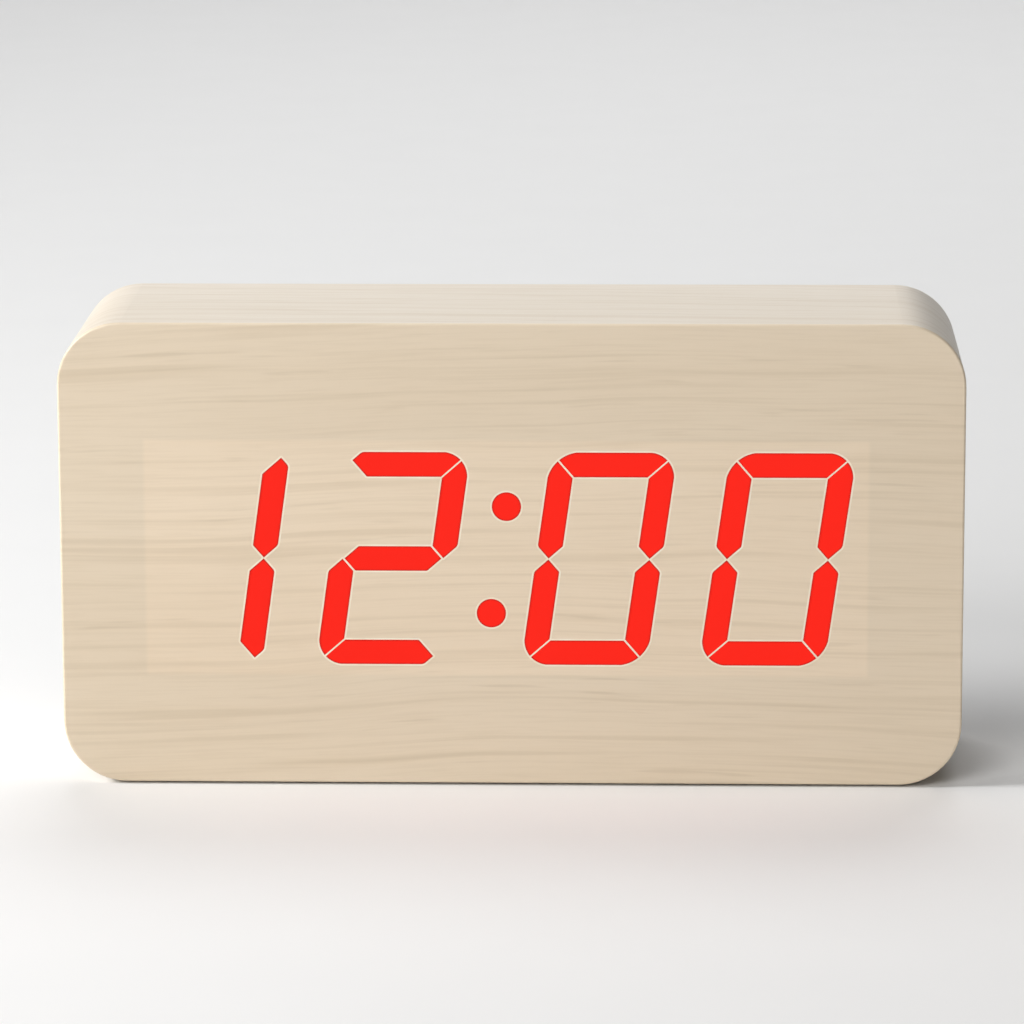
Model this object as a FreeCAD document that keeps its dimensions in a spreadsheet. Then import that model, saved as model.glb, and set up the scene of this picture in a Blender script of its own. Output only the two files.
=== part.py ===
import FreeCAD, Part
import math
import os
import re
import Sketcher

# Alarm clock in a wood-effect block.  X runs to the right, Y to the rear, Z up.
# The origin is on the table, under the middle of the clock.  Lengths are millimetres.

SIZES = {
    # case and the film wrapped over it
    "case_width": 150,
    "case_height": 78,
    "case_depth": 40,
    "case_corner": 10.5,
    "film_thickness": 0.5,
    "film_edge": 0.4,
    "film_seam": 0.15,
    "foot_height": 0.4,
    "foot_diameter": 8,
    "foot_across": 58,
    "foot_back": 13,
    "cavity_width": 136,
    "cavity_height": 64,
    "cavity_corner": 16,
    "wall_front": 6,
    "rebate_width": 142,
    "rebate_height": 70,
    "rebate_corner": 7,
    "window_width": 126,
    "window_height": 38.4,
    "window_x": -0.8,
    "window_z": -0.6,
    "pilot_diameter": 1.6,
    "screw_clearance": 2.2,
    # figures of the display
    "digit_width": 20.9,
    "digit_height": 36.05,
    "digit_stroke": 4.17,
    "digit_slant": 0.142,
    "segment_gap": 0.28,
    "segment_lip": 0.3,
    "segment_depth": 3,
    "segment_corner": 0.4,
    "segment_shoulder": 1,
    "dark_gap": 1,
    "tip_gap": 0.16,
    "corner_reach": 3.93,
    "free_side": 1.4,
    "upright_end": 1,
    "level_end": 1.5,
    "hour_tens": -49.45,
    "hour_units": -19.6,
    "minute_tens": 14.6,
    "minute_units": 44.15,
    "figure_z": -0.55,
    "colon_x": -2,
    "colon_z": -0.75,
    "colon_rise": 9.05,
    "colon_diameter": 4.86,
    "led_length": 1.6,
    "led_width": 0.8,
    "led_height": 0.7,
    # main board
    "main_width": 130,
    "main_height": 48,
    "board_thickness": 1.6,
    "board_corner": 2,
    "main_screw_x": 62,
    "main_screw_z": 22,
    # rear cover
    "cover_front": 16.5,
    "cover_width": 141.4,
    "cover_height": 69.4,
    "cover_corner": 6.7,
    "cover_thickness": 2,
    "cover_screw_x": 65,
    "cover_screw_z": 29,
    "sound_x": -8,
    "sound_z": -12,
    "sound_ring": 4,
    "sound_diameter": 1.6,
    # battery bay and its door
    "bay_x": 32,
    "bay_width": 50.4,
    "bay_height": 33.4,
    "bay_depth": 12.5,
    "tub_width": 56,
    "tub_height": 39,
    "tub_depth": 14,
    "door_width": 53,
    "door_height": 36,
    "door_thickness": 1.5,
    "door_gap": 0.3,
    "knuckle_diameter": 2.6,
    "pin_diameter": 1.2,
    "pin_reach": 1.3,
    "pin_clearance": 0.05,
    "cell_diameter": 10.4,
    "cell_length": 44.5,
    "cell_pitch": 11,
    "cell_y": 9.4,
    "nub_diameter": 3.8,
    "nub_length": 0.8,
    "contact_thickness": 0.3,
    "contact_width": 8.4,
    "tail_length": 3.2,
    "tail_width": 2,
    "spring_radius": 2.6,
    "spring_turns": 3.5,
    "spring_wire": 0.5,
    # button board, buttons and power inlet
    "button_board_x": -42,
    "button_board_y": 8.5,
    "button_board_width": 45,
    "button_board_height": 40,
    "post_x": 19.5,
    "post_z": 17,
    "post_diameter": 5,
    "button_z": 10,
    "button_first": -56,
    "button_pitch": 12,
    "button_diameter": 6,
    "button_gap": 0.3,
    "flange_diameter": 8,
    "flange_height": 1.2,
    "button_top": 19.5,
    "switch_width": 6,
    "switch_height": 3.5,
    "stem_diameter": 3.5,
    "stem_foot": 12.4,
    "dome_floor": 11.2,
    "inlet_x": -44,
    "inlet_z": -8,
    "inlet_width": 8.94,
    "inlet_height": 3.26,
    "inlet_wall": 0.3,
    "inlet_length": 7.4,
    # cables
    "ribbon_x": -36,
    "ribbon_width": 7.6,
    "ribbon_thickness": 1,
    "socket_width": 4,
    "socket_length": 10,
    "socket_height": 4,
    "lead_diameter": 1.2,
    "cable_bend": 4,
}

# Sizes worked out from the ones above.
DERIVED = {
    "centre_height": "foot_height + case_height / 2",
    "core_width": "case_width - 2 * film_thickness",
    "core_height": "case_height - 2 * film_thickness",
    "core_corner": "case_corner - film_thickness",
    "core_depth": "case_depth - 2 * film_thickness",
    "core_front": "film_thickness - case_depth / 2",
    "main_front": "core_front + wall_front",
    "main_back": "main_front + board_thickness",
    "button_back": "button_board_y + board_thickness",
    "door_drop": "door_height - knuckle_diameter / 2",
    "hinge_y": "cover_front + cover_thickness - knuckle_diameter / 2",
    "hinge_z": "door_height / 2 - knuckle_diameter / 2",
    "recess_width": "door_width + 2 * door_gap",
    "recess_height": "door_height + 2 * door_gap",
    "contact_face": "bay_width / 2 - contact_thickness",
    "spring_length": "2 * contact_face - cell_length",
    "tub_front": "cover_front - tub_depth",
}

FOUR = [(1, 1), (-1, 1), (-1, -1), (1, -1)]

doc = FreeCAD.newDocument("AlarmClock")
sheet = doc.addObject("Spreadsheet::Sheet", "dims")


def bound(text):
    """The expression with every size name (they all hold an underscore) tied to the sheet."""
    return re.sub(r"\b[a-z]+(?:_[a-z]+)+\b", r"dims.\g<0>", str(text))


def fill_sheet():
    rows = list(SIZES.items()) + [(name, "=" + text) for name, text in DERIVED.items()]
    for row, (name, value) in enumerate(rows, start=1):
        sheet.set(f"A{row}", name)
        sheet.set(f"B{row}", str(value))
        sheet.setAlias(f"B{row}", name)
    doc.recompute()


fill_sheet()
probe = doc.addObject("App::VarSet", "probe")
probe.addProperty("App::PropertyFloat", "number")


def number(text):
    """Present value of an expression in the sheet's sizes."""
    probe.setExpression("number", bound(text))
    probe.recompute()
    return probe.number


# ---------------------------------------------------------------- sketches

def set_size(sketch, constraint, name, text):
    """Add a constraint and tie its value to the sheet."""
    index = sketch.addConstraint(constraint)
    sketch.renameConstraint(index, name)
    sketch.setExpression("Constraints." + name, bound(text))


def anchor(sketch, x, y):
    """A fixed point of the sketch: its origin, or a construction point away from it."""
    if (x, y) == ("0", "0"):
        return -1, 1
    spot = FreeCAD.Vector(number(x), number(y), 0)
    point = sketch.addGeometry(Part.Point(spot), True)
    set_size(sketch, Sketcher.Constraint("DistanceX", -1, 1, point, 1, spot.x), f"x{point}", x)
    set_size(sketch, Sketcher.Constraint("DistanceY", -1, 1, point, 1, spot.y), f"y{point}", y)
    return point, 1


def add_circle(sketch, diameter, x="0", y="0"):
    radius = number(diameter) / 2
    middle = FreeCAD.Vector(number(x), number(y), 0)
    fixed = anchor(sketch, x, y)
    ring = sketch.addGeometry(Part.Circle(middle, FreeCAD.Vector(0, 0, 1), radius))
    sketch.addConstraint(Sketcher.Constraint("Coincident", ring, 3, *fixed))
    set_size(sketch, Sketcher.Constraint("Diameter", ring, 2 * radius), f"diameter{ring}", diameter)


def add_box(sketch, width, height, x="0", y="0"):
    half = FreeCAD.Vector(number(width) / 2, number(height) / 2, 0)
    middle = FreeCAD.Vector(number(x), number(y), 0)
    fixed = anchor(sketch, x, y)
    turns = [(-1, -1), (1, -1), (1, 1), (-1, 1)]
    corners = [middle + FreeCAD.Vector(a * half.x, b * half.y, 0) for a, b in turns]
    first = sketch.addGeometry([Part.LineSegment(corners[i], corners[(i + 1) % 4]) for i in range(4)])[0]
    for i in range(4):
        sketch.addConstraint(Sketcher.Constraint("Coincident", first + i, 2, first + (i + 1) % 4, 1))
        sketch.addConstraint(Sketcher.Constraint("Vertical" if i % 2 else "Horizontal", first + i))
    sketch.addConstraint(Sketcher.Constraint("Symmetric", first, 1, first + 2, 1, *fixed))
    set_size(sketch, Sketcher.Constraint("DistanceX", first, 1, first, 2, 2 * half.x), f"width{first}", width)
    set_size(sketch, Sketcher.Constraint("DistanceY", first + 1, 1, first + 1, 2, 2 * half.y),
             f"height{first}", height)


def add_round_box(sketch, width, height, corner, x="0", y="0"):
    radius = number(corner)
    wide = number(width) / 2
    tall = number(height) / 2
    middle = FreeCAD.Vector(number(x), number(y), 0)
    fixed = anchor(sketch, x, y)
    ends = [(radius - wide, -tall), (wide - radius, -tall), (wide, radius - tall), (wide, tall - radius),
            (wide - radius, tall), (radius - wide, tall), (-wide, tall - radius), (-wide, radius - tall)]
    ends = [middle + FreeCAD.Vector(a, b, 0) for a, b in ends]
    centres = [(wide - radius, radius - tall), (wide - radius, tall - radius),
               (radius - wide, tall - radius), (radius - wide, radius - tall)]
    lines = [Part.LineSegment(ends[2 * i], ends[2 * i + 1]) for i in range(4)]
    arcs = []
    for i, (a, b) in enumerate(centres):
        ring = Part.Circle(middle + FreeCAD.Vector(a, b, 0), FreeCAD.Vector(0, 0, 1), radius)
        arcs.append(Part.ArcOfCircle(ring, (i - 1) * math.pi / 2, i * math.pi / 2))
    first = sketch.addGeometry(lines + arcs)[0]
    for i in range(4):
        arc = first + 4 + i
        sketch.addConstraint(Sketcher.Constraint("Tangent", first + i, 2, arc, 1))
        sketch.addConstraint(Sketcher.Constraint("Tangent", arc, 2, first + (i + 1) % 4, 1))
        sketch.addConstraint(Sketcher.Constraint("Vertical" if i % 2 else "Horizontal", first + i))
        if i:
            sketch.addConstraint(Sketcher.Constraint("Equal", first + 4, arc))
    sketch.addConstraint(Sketcher.Constraint("Symmetric", first, 1, first + 2, 1, *fixed))
    set_size(sketch, Sketcher.Constraint("Radius", first + 4, radius), f"corner{first}", corner)
    set_size(sketch, Sketcher.Constraint("DistanceX", first + 3, 1, first + 1, 1, 2 * wide),
             f"width{first}", width)
    set_size(sketch, Sketcher.Constraint("DistanceY", first, 1, first + 2, 1, 2 * tall),
             f"height{first}", height)


OUTLINES = {"circle": add_circle, "box": add_box, "round": add_round_box}


# ---------------------------------------------------------------- bodies

def new_body(name, x="0", y="0", z="centre_height", group=False):
    """An empty body; its own origin is placed at x, y, z of the clock."""
    body = doc.addObject("PartDesign::Body", name + "_body")
    body.Label = name
    body.AllowCompound = group
    for axis, text in zip("xyz", (x, y, z)):
        body.setExpression("Placement.Base." + axis, bound(text))
    return body


def new_sketch(body, name, start, plane="XZ_Plane"):
    """A sketch on a plane of the body's origin, moved along the plane's axis to start."""
    sketch = body.newObject("Sketcher::SketchObject", name)
    support = next(item for item in body.Origin.OriginFeatures if item.Role == plane)
    sketch.AttachmentSupport = (support, "")
    sketch.MapMode = "FlatFace"
    sign = "-" if plane == "XZ_Plane" else ""
    sketch.setExpression("AttachmentOffset.Base.z", f"{sign}({bound(start)})")
    return sketch


def outline(body, name, start, shapes, plane):
    sketch = new_sketch(body, name + "_outline", start, plane)
    for kind, *sizes in shapes:
        OUTLINES[kind](sketch, *sizes)
    return sketch


def grow(body, name, start, length, *shapes, plane="XZ_Plane"):
    """Add material from start towards the positive axis."""
    feature = body.newObject("PartDesign::Pad", name)
    feature.Profile = outline(body, name, start, shapes, plane)
    feature.Reversed = plane == "XZ_Plane"
    feature.setExpression("Length", bound(length))
    doc.recompute()
    return feature


def carve(body, name, start, length, *shapes, plane="XZ_Plane"):
    """Take material away from start towards the positive axis."""
    before = body.Shape.Volume
    feature = body.newObject("PartDesign::Pocket", name)
    feature.Profile = outline(body, name, start, shapes, plane)
    feature.Reversed = plane != "XZ_Plane"
    feature.setExpression("Length", bound(length))
    doc.recompute()
    if body.Shape.Volume > before - 1e-6:
        raise ValueError(f"{body.Label}: {name} takes nothing away")
    return feature


def edges_in_plane(shape, axis, level):
    """The edges lying in the plane axis = level."""
    edges = []
    for edge in shape.Edges:
        low = getattr(edge.BoundBox, axis + "Min")
        high = getattr(edge.BoundBox, axis + "Max")
        if abs(low - level) < 1e-4 and abs(high - level) < 1e-4:
            edges.append(edge)
    return edges


def edge_names(shape, edges):
    return [f"Edge{index}" for index, edge in enumerate(shape.Edges, start=1)
            if any(edge.isSame(other) for other in edges)]


def soften(body, name, radius, edges):
    """Round these edges of the body's present shape."""
    base = body.Tip
    names = edge_names(base.Shape, edges)
    feature = body.newObject("PartDesign::Fillet", name)
    feature.Base = (base, names)
    feature.setExpression("Radius", bound(radius))
    doc.recompute()
    return feature


def four_circles(diameter, x, z):
    return [("circle", diameter, f"{a} * {x}", f"{b} * {z}") for a, b in FOUR]


def add_solids(name, shapes):
    """A node whose solids are worked out in code from the sheet's sizes."""
    node = doc.addObject("Part::Feature", name + "_solids")
    node.Label = name
    node.Shape = shapes[0] if len(shapes) == 1 else Part.makeCompound(shapes)
    return node


def screw_set(name, x, y, z, places, head_diameter, head_height, shank_length, to_rear=True):
    """Cross-head screws; their seats are at y, their heads point to the rear or to the front."""
    body = new_body(name, x, y, z, group=True)
    head_start = "0" if to_rear else f"-{head_height}"
    shank_start = f"-{shank_length}" if to_rear else "0"
    slot_start = f"{head_height} - 0.6" if to_rear else f"-{head_height}"
    grow(body, name + "_heads", head_start, head_height, *[("circle", head_diameter, *p) for p in places])
    grow(body, name + "_shanks", shank_start, shank_length,
         *[("circle", "pilot_diameter", *p) for p in places])
    carve(body, name + "_slots", slot_start, "0.6", *[("box", "2.2", "0.5", *p) for p in places])
    carve(body, name + "_cross", slot_start, "0.6", *[("box", "0.5", "2.2", *p) for p in places])
    return body


# ---------------------------------------------------------------- case

def wood_case():
    body = new_body("wood_case")
    grow(body, "core", "core_front", "core_depth", ("round", "core_width", "core_height", "core_corner"))
    carve(body, "cavity", "main_front", "core_depth",
          ("round", "cavity_width", "cavity_height", "cavity_corner"))
    carve(body, "rebate", "cover_front", "core_depth",
          ("round", "rebate_width", "rebate_height", "rebate_corner"))
    carve(body, "window", "core_front", "wall_front",
          ("round", "window_width", "window_height", "board_corner", "window_x", "window_z"))
    carve(body, "cover_pilots", "cover_front - 10", "10",
          *four_circles("pilot_diameter", "cover_screw_x", "cover_screw_z"))
    carve(body, "board_pilots", "main_front - 4.5", "4.5",
          *four_circles("pilot_diameter", "main_screw_x", "main_screw_z"))


def film_front():
    """Front film, open where a lit segment shows."""
    blank = new_body("front_blank")
    grow(blank, "front_sheet", "-case_depth / 2", "film_thickness",
         ("round", "case_width", "case_height", "case_corner"))
    level = -number("case_depth / 2")
    soften(blank, "front_edge", "film_edge", edges_in_plane(blank.Tip.Shape, "Y", level))
    windows = doc.addObject("Part::Feature", "lit_windows")
    windows.Shape = fused([prism(face, 0, number("film_thickness")) for face in lit_faces(grown=True)])
    film = doc.addObject("Part::Cut", "front_film")
    film.Base = blank
    film.Tool = windows
    film.Label = "front_veneer"


def film_sides():
    body = new_body("side_veneer")
    grow(body, "band", "core_front", "core_depth", ("round", "case_width", "case_height", "case_corner"))
    carve(body, "band_inside", "core_front", "core_depth",
          ("round", "core_width", "core_height", "core_corner"))
    carve(body, "band_seam", "core_front", "core_depth",
          ("box", "film_seam", "4 * film_thickness", "0", "-case_height / 2"))


def film_rear():
    body = new_body("rear_veneer")
    grow(body, "ring", "core_front + core_depth", "film_thickness",
         ("round", "case_width", "case_height", "case_corner"))
    carve(body, "ring_inside", "core_front + core_depth", "film_thickness",
          ("round", "rebate_width", "rebate_height", "rebate_corner"))
    shape = body.Tip.Shape
    half_width = number("rebate_width / 2 + film_edge")
    half_height = number("rebate_height / 2 + film_edge")
    outer = [edge for edge in edges_in_plane(shape, "Y", number("case_depth / 2"))
             if max(edge.BoundBox.XMax, -edge.BoundBox.XMin) > half_width
             or max(edge.BoundBox.ZMax, -edge.BoundBox.ZMin) > half_height]
    soften(body, "rear_edge", "film_edge", outer)


def feet():
    body = new_body("feet", z="0", group=True)
    grow(body, "pads", "0", "foot_height", *four_circles("foot_diameter", "foot_across", "foot_back"),
         plane="XY_Plane")


# ---------------------------------------------------------------- display

DIGITS = ["hour_tens", "hour_units", "minute_tens", "minute_units"]
SHOWN = {"hour_tens": "bc", "hour_units": "abged", "minute_tens": "abcdef", "minute_units": "abcdef"}
MIRRORED = {"a": ("a", 1, 1), "d": ("a", -1, -1), "g": ("g", 1, 1), "b": ("b", 1, 1),
            "c": ("b", 1, -1), "f": ("b", -1, 1), "e": ("b", -1, -1)}
FREE = {"hour_tens": "bc", "hour_units": "ad"}


def ring_point(middle, radius, angle):
    return middle[0] + radius * math.cos(angle), middle[1] + radius * math.sin(angle)


def corner_arc(gap):
    """Ends and middle of the outer arc's upper half, up to the slit between two segments."""
    stroke = number("digit_stroke")
    reach = number("corner_reach")
    offset = (stroke ** 2 - reach ** 2) / (2 * stroke - 2 * math.sqrt(2) * reach)
    radius = reach - offset * math.sqrt(2)
    middle = (number("digit_width / 2 - digit_stroke") + offset,
              number("digit_height / 2 - digit_stroke") + offset)
    low = math.pi / 4 + math.asin(gap / 2 / radius)
    high = math.pi / 2 - math.atan2(-offset, stroke - offset)
    return [ring_point(middle, radius, angle) for angle in (low, (low + high) / 2, high)]


def swapped(spots):
    """The same points reflected in the line that halves the figure's corner."""
    tilt = number("digit_width - digit_height") / 2
    return [(z + tilt, x - tilt) for x, z in spots]


def level_corners(gap, free):
    """Corners of the top segment: place, rounding, and a place on the arc that follows, if any."""
    rounding = number("segment_corner")
    wide = number("digit_width / 2")
    tall = number("digit_height / 2")
    inner = (number("digit_width / 2 - digit_stroke") - gap / math.sqrt(2),
             number("digit_height / 2 - digit_stroke"))
    tip, bend, top = corner_arc(gap)
    right = [(inner, 0, None), (tip, 0, bend), (top, 0, None)]
    if not free:
        left = [((-top[0], top[1]), 0, (-bend[0], bend[1])), ((-tip[0], tip[1]), 0, None),
                ((-inner[0], inner[1]), 0, None)]
        return right + left
    side = number("free_side")
    end = number("level_end") - wide
    rest = number("digit_stroke") - side
    return right + [((end + side, tall), number("segment_shoulder"), None), ((end, tall - side), 0, None),
                    ((end + rest, inner[1]), rounding, None)]


def upright_corners(gap, free):
    """Corners of the upper right segment, told the same way."""
    rounding = number("segment_corner")
    shoulder = number("segment_shoulder")
    wide = number("digit_width / 2")
    inner = number("digit_width / 2 - digit_stroke")
    half = number("digit_stroke / 2")
    tip = number("tip_gap / 2")
    low = [((inner, half + tip), rounding, None), ((wide - half, tip), 0, None),
           ((wide, half + tip), shoulder, None)]
    if not free:
        tip, bend, side = swapped(corner_arc(gap))
        slit = number("digit_height / 2 - digit_stroke") - gap / math.sqrt(2)
        return low + [(side, 0, bend), (tip, 0, None), ((inner, slit), 0, None)]
    side = number("free_side")
    end = number("digit_height / 2 - upright_end")
    rest = number("digit_stroke") - side
    return low + [((wide, end - side), shoulder, None), ((wide - side, end), 0, None),
                  ((inner, end - rest), rounding, None)]


def middle_corners(gap, free):
    rounding = number("segment_corner")
    half = number("digit_stroke / 2")
    tip = number("digit_width / 2 - digit_stroke / 2 + tip_gap / 2") - gap * math.sqrt(2)
    shoulder = tip - half
    return [((tip, 0), 0, None), ((shoulder, half), rounding, None), ((-shoulder, half), rounding, None),
            ((-tip, 0), 0, None), ((-shoulder, -half), rounding, None), ((shoulder, -half), rounding, None)]


CORNERS = {"a": level_corners, "b": upright_corners, "g": middle_corners}


def rounded(before, here, after, radius):
    """The places that stand in for a corner: itself, or the start, middle and end of a small arc."""
    if not radius:
        return [here]
    spot = FreeCAD.Vector(*here, 0)
    back = (FreeCAD.Vector(*before, 0) - spot).normalize()
    ahead = (FreeCAD.Vector(*after, 0) - spot).normalize()
    half = back.getAngle(ahead) / 2
    inward = (back + ahead).normalize()
    places = [spot + back * (radius / math.tan(half)), spot + inward * (radius / math.sin(half) - radius),
              spot + ahead * (radius / math.tan(half))]
    return [(place.x, place.y) for place in places]


def segment_path(corners):
    """Runs of two places (a straight side) or three places (an arc) round an upright segment."""
    count = len(corners)
    places = [corner[0] for corner in corners]
    turns = [rounded(places[i - 1], places[i], places[(i + 1) % count], corners[i][1]) for i in range(count)]
    runs = [tuple(turn) for turn in turns if len(turn) == 3]
    for i, (_, _, bend) in enumerate(corners):
        start = turns[i][-1]
        end = turns[(i + 1) % count][0]
        runs.append((start, bend, end) if bend else (start, end))
    return runs


def leaning(x, z, digit):
    """A point of an upright figure put in its place on the clock's front, leaning to the right."""
    across = number(digit) + x + number("digit_slant") * z
    return FreeCAD.Vector(across, -number("case_depth / 2"), number("centre_height + figure_z") + z)


def segment_face(digit, letter):
    kind, side, rise = MIRRORED[letter]
    gap = number("segment_gap" if letter in SHOWN[digit] else "dark_gap")
    corners = CORNERS[kind](gap, letter in FREE.get(digit, ""))
    edges = []
    for run in segment_path(corners):
        spots = [leaning(side * x, rise * z, digit) for x, z in run]
        edges.append(Part.Arc(*spots).toShape() if len(spots) == 3 else Part.makeLine(*spots))
    return Part.Face(Part.Wire(Part.__sortEdges__(edges)))


def dot_middle(rise):
    height = rise * number("colon_rise")
    across = number("colon_x") + number("digit_slant") * height
    return FreeCAD.Vector(across, -number("case_depth / 2"), number("centre_height + colon_z") + height)


def dot_face(rise, grown=0.0):
    ring = Part.makeCircle(number("colon_diameter / 2") + grown, dot_middle(rise), FreeCAD.Vector(0, 1, 0))
    return Part.Face(Part.Wire(ring))


def lit_faces(grown=False):
    """Faces of all lit segments and dots; grown ones take in the pale lip round them."""
    lip = number("segment_lip") if grown else 0.0
    faces = [segment_face(digit, letter) for digit in DIGITS for letter in SHOWN[digit]]
    if grown:
        faces = [face.makeOffset2D(lip) for face in faces]
    return faces + [dot_face(rise, lip) for rise in (1, -1)]


def prism(face, start, length):
    """The face drawn out towards the rear, from start behind the clock's front."""
    moved = face.translated(FreeCAD.Vector(0, start, 0))
    return moved.extrude(FreeCAD.Vector(0, length, 0))


def fused(solids):
    return solids[0].multiFuse(solids[1:]).removeSplitter()


def unlit_letters(digit):
    return [letter for letter in "abcdefg" if letter not in SHOWN[digit]]


def light_guides():
    depth = number("segment_depth")
    for digit in DIGITS:
        add_solids(digit + "_lit", [prism(segment_face(digit, letter), 0, depth) for letter in SHOWN[digit]])
    add_solids("colon_lit", [prism(dot_face(rise), 0, depth) for rise in (1, -1)])
    film = number("film_thickness")
    dark = [segment_face(digit, letter) for digit in DIGITS for letter in unlit_letters(digit)]
    add_solids("unlit_segments", [prism(face, film, depth - film) for face in dark])


def reflector():
    """Block of light wells behind the film; thin lips rise round the lit segments."""
    film = number("film_thickness")
    deep = film + number("wall_front")
    plate = new_body("reflector_plate", "window_x", "0", "centre_height + window_z")
    grow(plate, "reflector_block", "core_front", "wall_front",
         ("round", "window_width - door_gap", "window_height - door_gap", "board_corner"))
    lips = doc.addObject("Part::Feature", "reflector_lips")
    lips.Shape = fused([prism(face, 0, film) for face in lit_faces(grown=True)])
    wells = doc.addObject("Part::Feature", "reflector_wells")
    dark = [segment_face(digit, letter) for digit in DIGITS for letter in unlit_letters(digit)]
    wells.Shape = Part.makeCompound([prism(face, 0, deep) for face in lit_faces()]
                                    + [prism(face, film, deep - film) for face in dark])
    whole = doc.addObject("Part::Fuse", "reflector_whole")
    whole.Base = plate
    whole.Tool = lips
    block = doc.addObject("Part::Cut", "reflector")
    block.Base = whole
    block.Tool = wells
    block.Label = "segment_reflector"


def led_spots(letter):
    """Two places on the middle line of an upright segment."""
    side = number("digit_width / 2 - digit_stroke / 2")
    top = number("digit_height / 2 - digit_stroke / 2")
    if letter in "adg":
        level = {"a": top, "d": -top, "g": 0}[letter]
        return [(-side / 2.2, level), (side / 2.2, level)]
    across = side if letter in "bc" else -side
    rise = 1 if letter in "bf" else -1
    return [(across, rise * top * 0.35), (across, rise * top * 0.72)]


def led_chips():
    size = (number("led_length"), number("led_height"), number("led_width"))
    spots = [leaning(x, z, digit) for digit in DIGITS for letter in "abcdefg" for x, z in led_spots(letter)]
    spots += [dot_middle(rise) for rise in (1, -1)]
    level = number("main_front - led_height")
    corners = [FreeCAD.Vector(spot.x - size[0] / 2, level, spot.z - size[2] / 2) for spot in spots]
    add_solids("segment_leds", [Part.makeBox(*size, corner) for corner in corners])


# ---------------------------------------------------------------- main board

def chip(body, name, width, height, depth, x="0", y="0", pins=0, pitch="1.27", reach="1.1"):
    """A flat package raised a little, with a row of leads along its upper and lower sides."""
    grow(body, name, "0.1", depth, ("box", width, height, x, y))
    if not pins:
        return
    row = [f"{x} + {i - (pins - 1) / 2} * {pitch}" for i in range(pins)]
    rows = [("box", "0.4", f"{height} + 2 * {reach}", across, y) for across in row]
    grow(body, name + "_leads", "0", "0.2", *rows)


def main_board():
    body = new_body("main_board", y="main_front")
    grow(body, "main_plate", "0", "board_thickness", ("round", "main_width", "main_height", "board_corner"))
    carve(body, "main_holes", "0", "board_thickness",
          *four_circles("screw_clearance", "main_screw_x", "main_screw_z"))
    places = [(f"{a} * main_screw_x", f"{b} * main_screw_z") for a, b in FOUR]
    screw_set("main_board_screws", "0", "main_back", "centre_height", places, "3.8", "1.3", "5.5")


def on_main_board(name, x, z, group=False):
    return new_body(name, x, "main_back", f"centre_height + {z}", group)


def board_components():
    processor = on_main_board("microcontroller", "-6", "11")
    chip(processor, "processor", "7", "7", "1.4", pins=11, pitch="0.6", reach="1")
    drivers = on_main_board("led_drivers", "28", "12", group=True)
    for side, name in ((-1, "driver_left"), (1, "driver_right")):
        chip(drivers, name, "10", "3.9", "1.6", x=f"{side * 12}", pins=8)
    regulator = on_main_board("voltage_regulator", "32", "-14")
    chip(regulator, "regulator", "6.5", "3.5", "1.6", pins=3, pitch="2.3", reach="1.6")
    crystal = on_main_board("crystal", "-6", "2.5")
    grow(crystal, "crystal_can", "0", "0.9", ("round", "3.2", "1.6", "0.3"))
    resistors = on_main_board("resistors", "31", "3", group=True)
    places = [f"{4 * i - 14}" for i in range(8)]
    grow(resistors, "resistor_chips", "0", "0.45", *[("box", "1.6", "0.8", x, "0") for x in places])
    capacitors = on_main_board("capacitors", "49", "-13", group=True)
    pair = ["-4.2", "4.2"]
    grow(capacitors, "capacitor_bases", "0", "0.8", *[("round", "6.6", "6.6", "0.8", x, "0") for x in pair])
    grow(capacitors, "capacitor_cans", "0.8", "5", *[("circle", "6.3", x, "0") for x in pair])
    buzzer = on_main_board("buzzer", "sound_x", "sound_z")
    grow(buzzer, "buzzer_can", "0", "9.5", ("circle", "12"))
    carve(buzzer, "buzzer_mouth", "7.5", "2", ("circle", "2"))


# ---------------------------------------------------------------- rear cover and batteries

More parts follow.
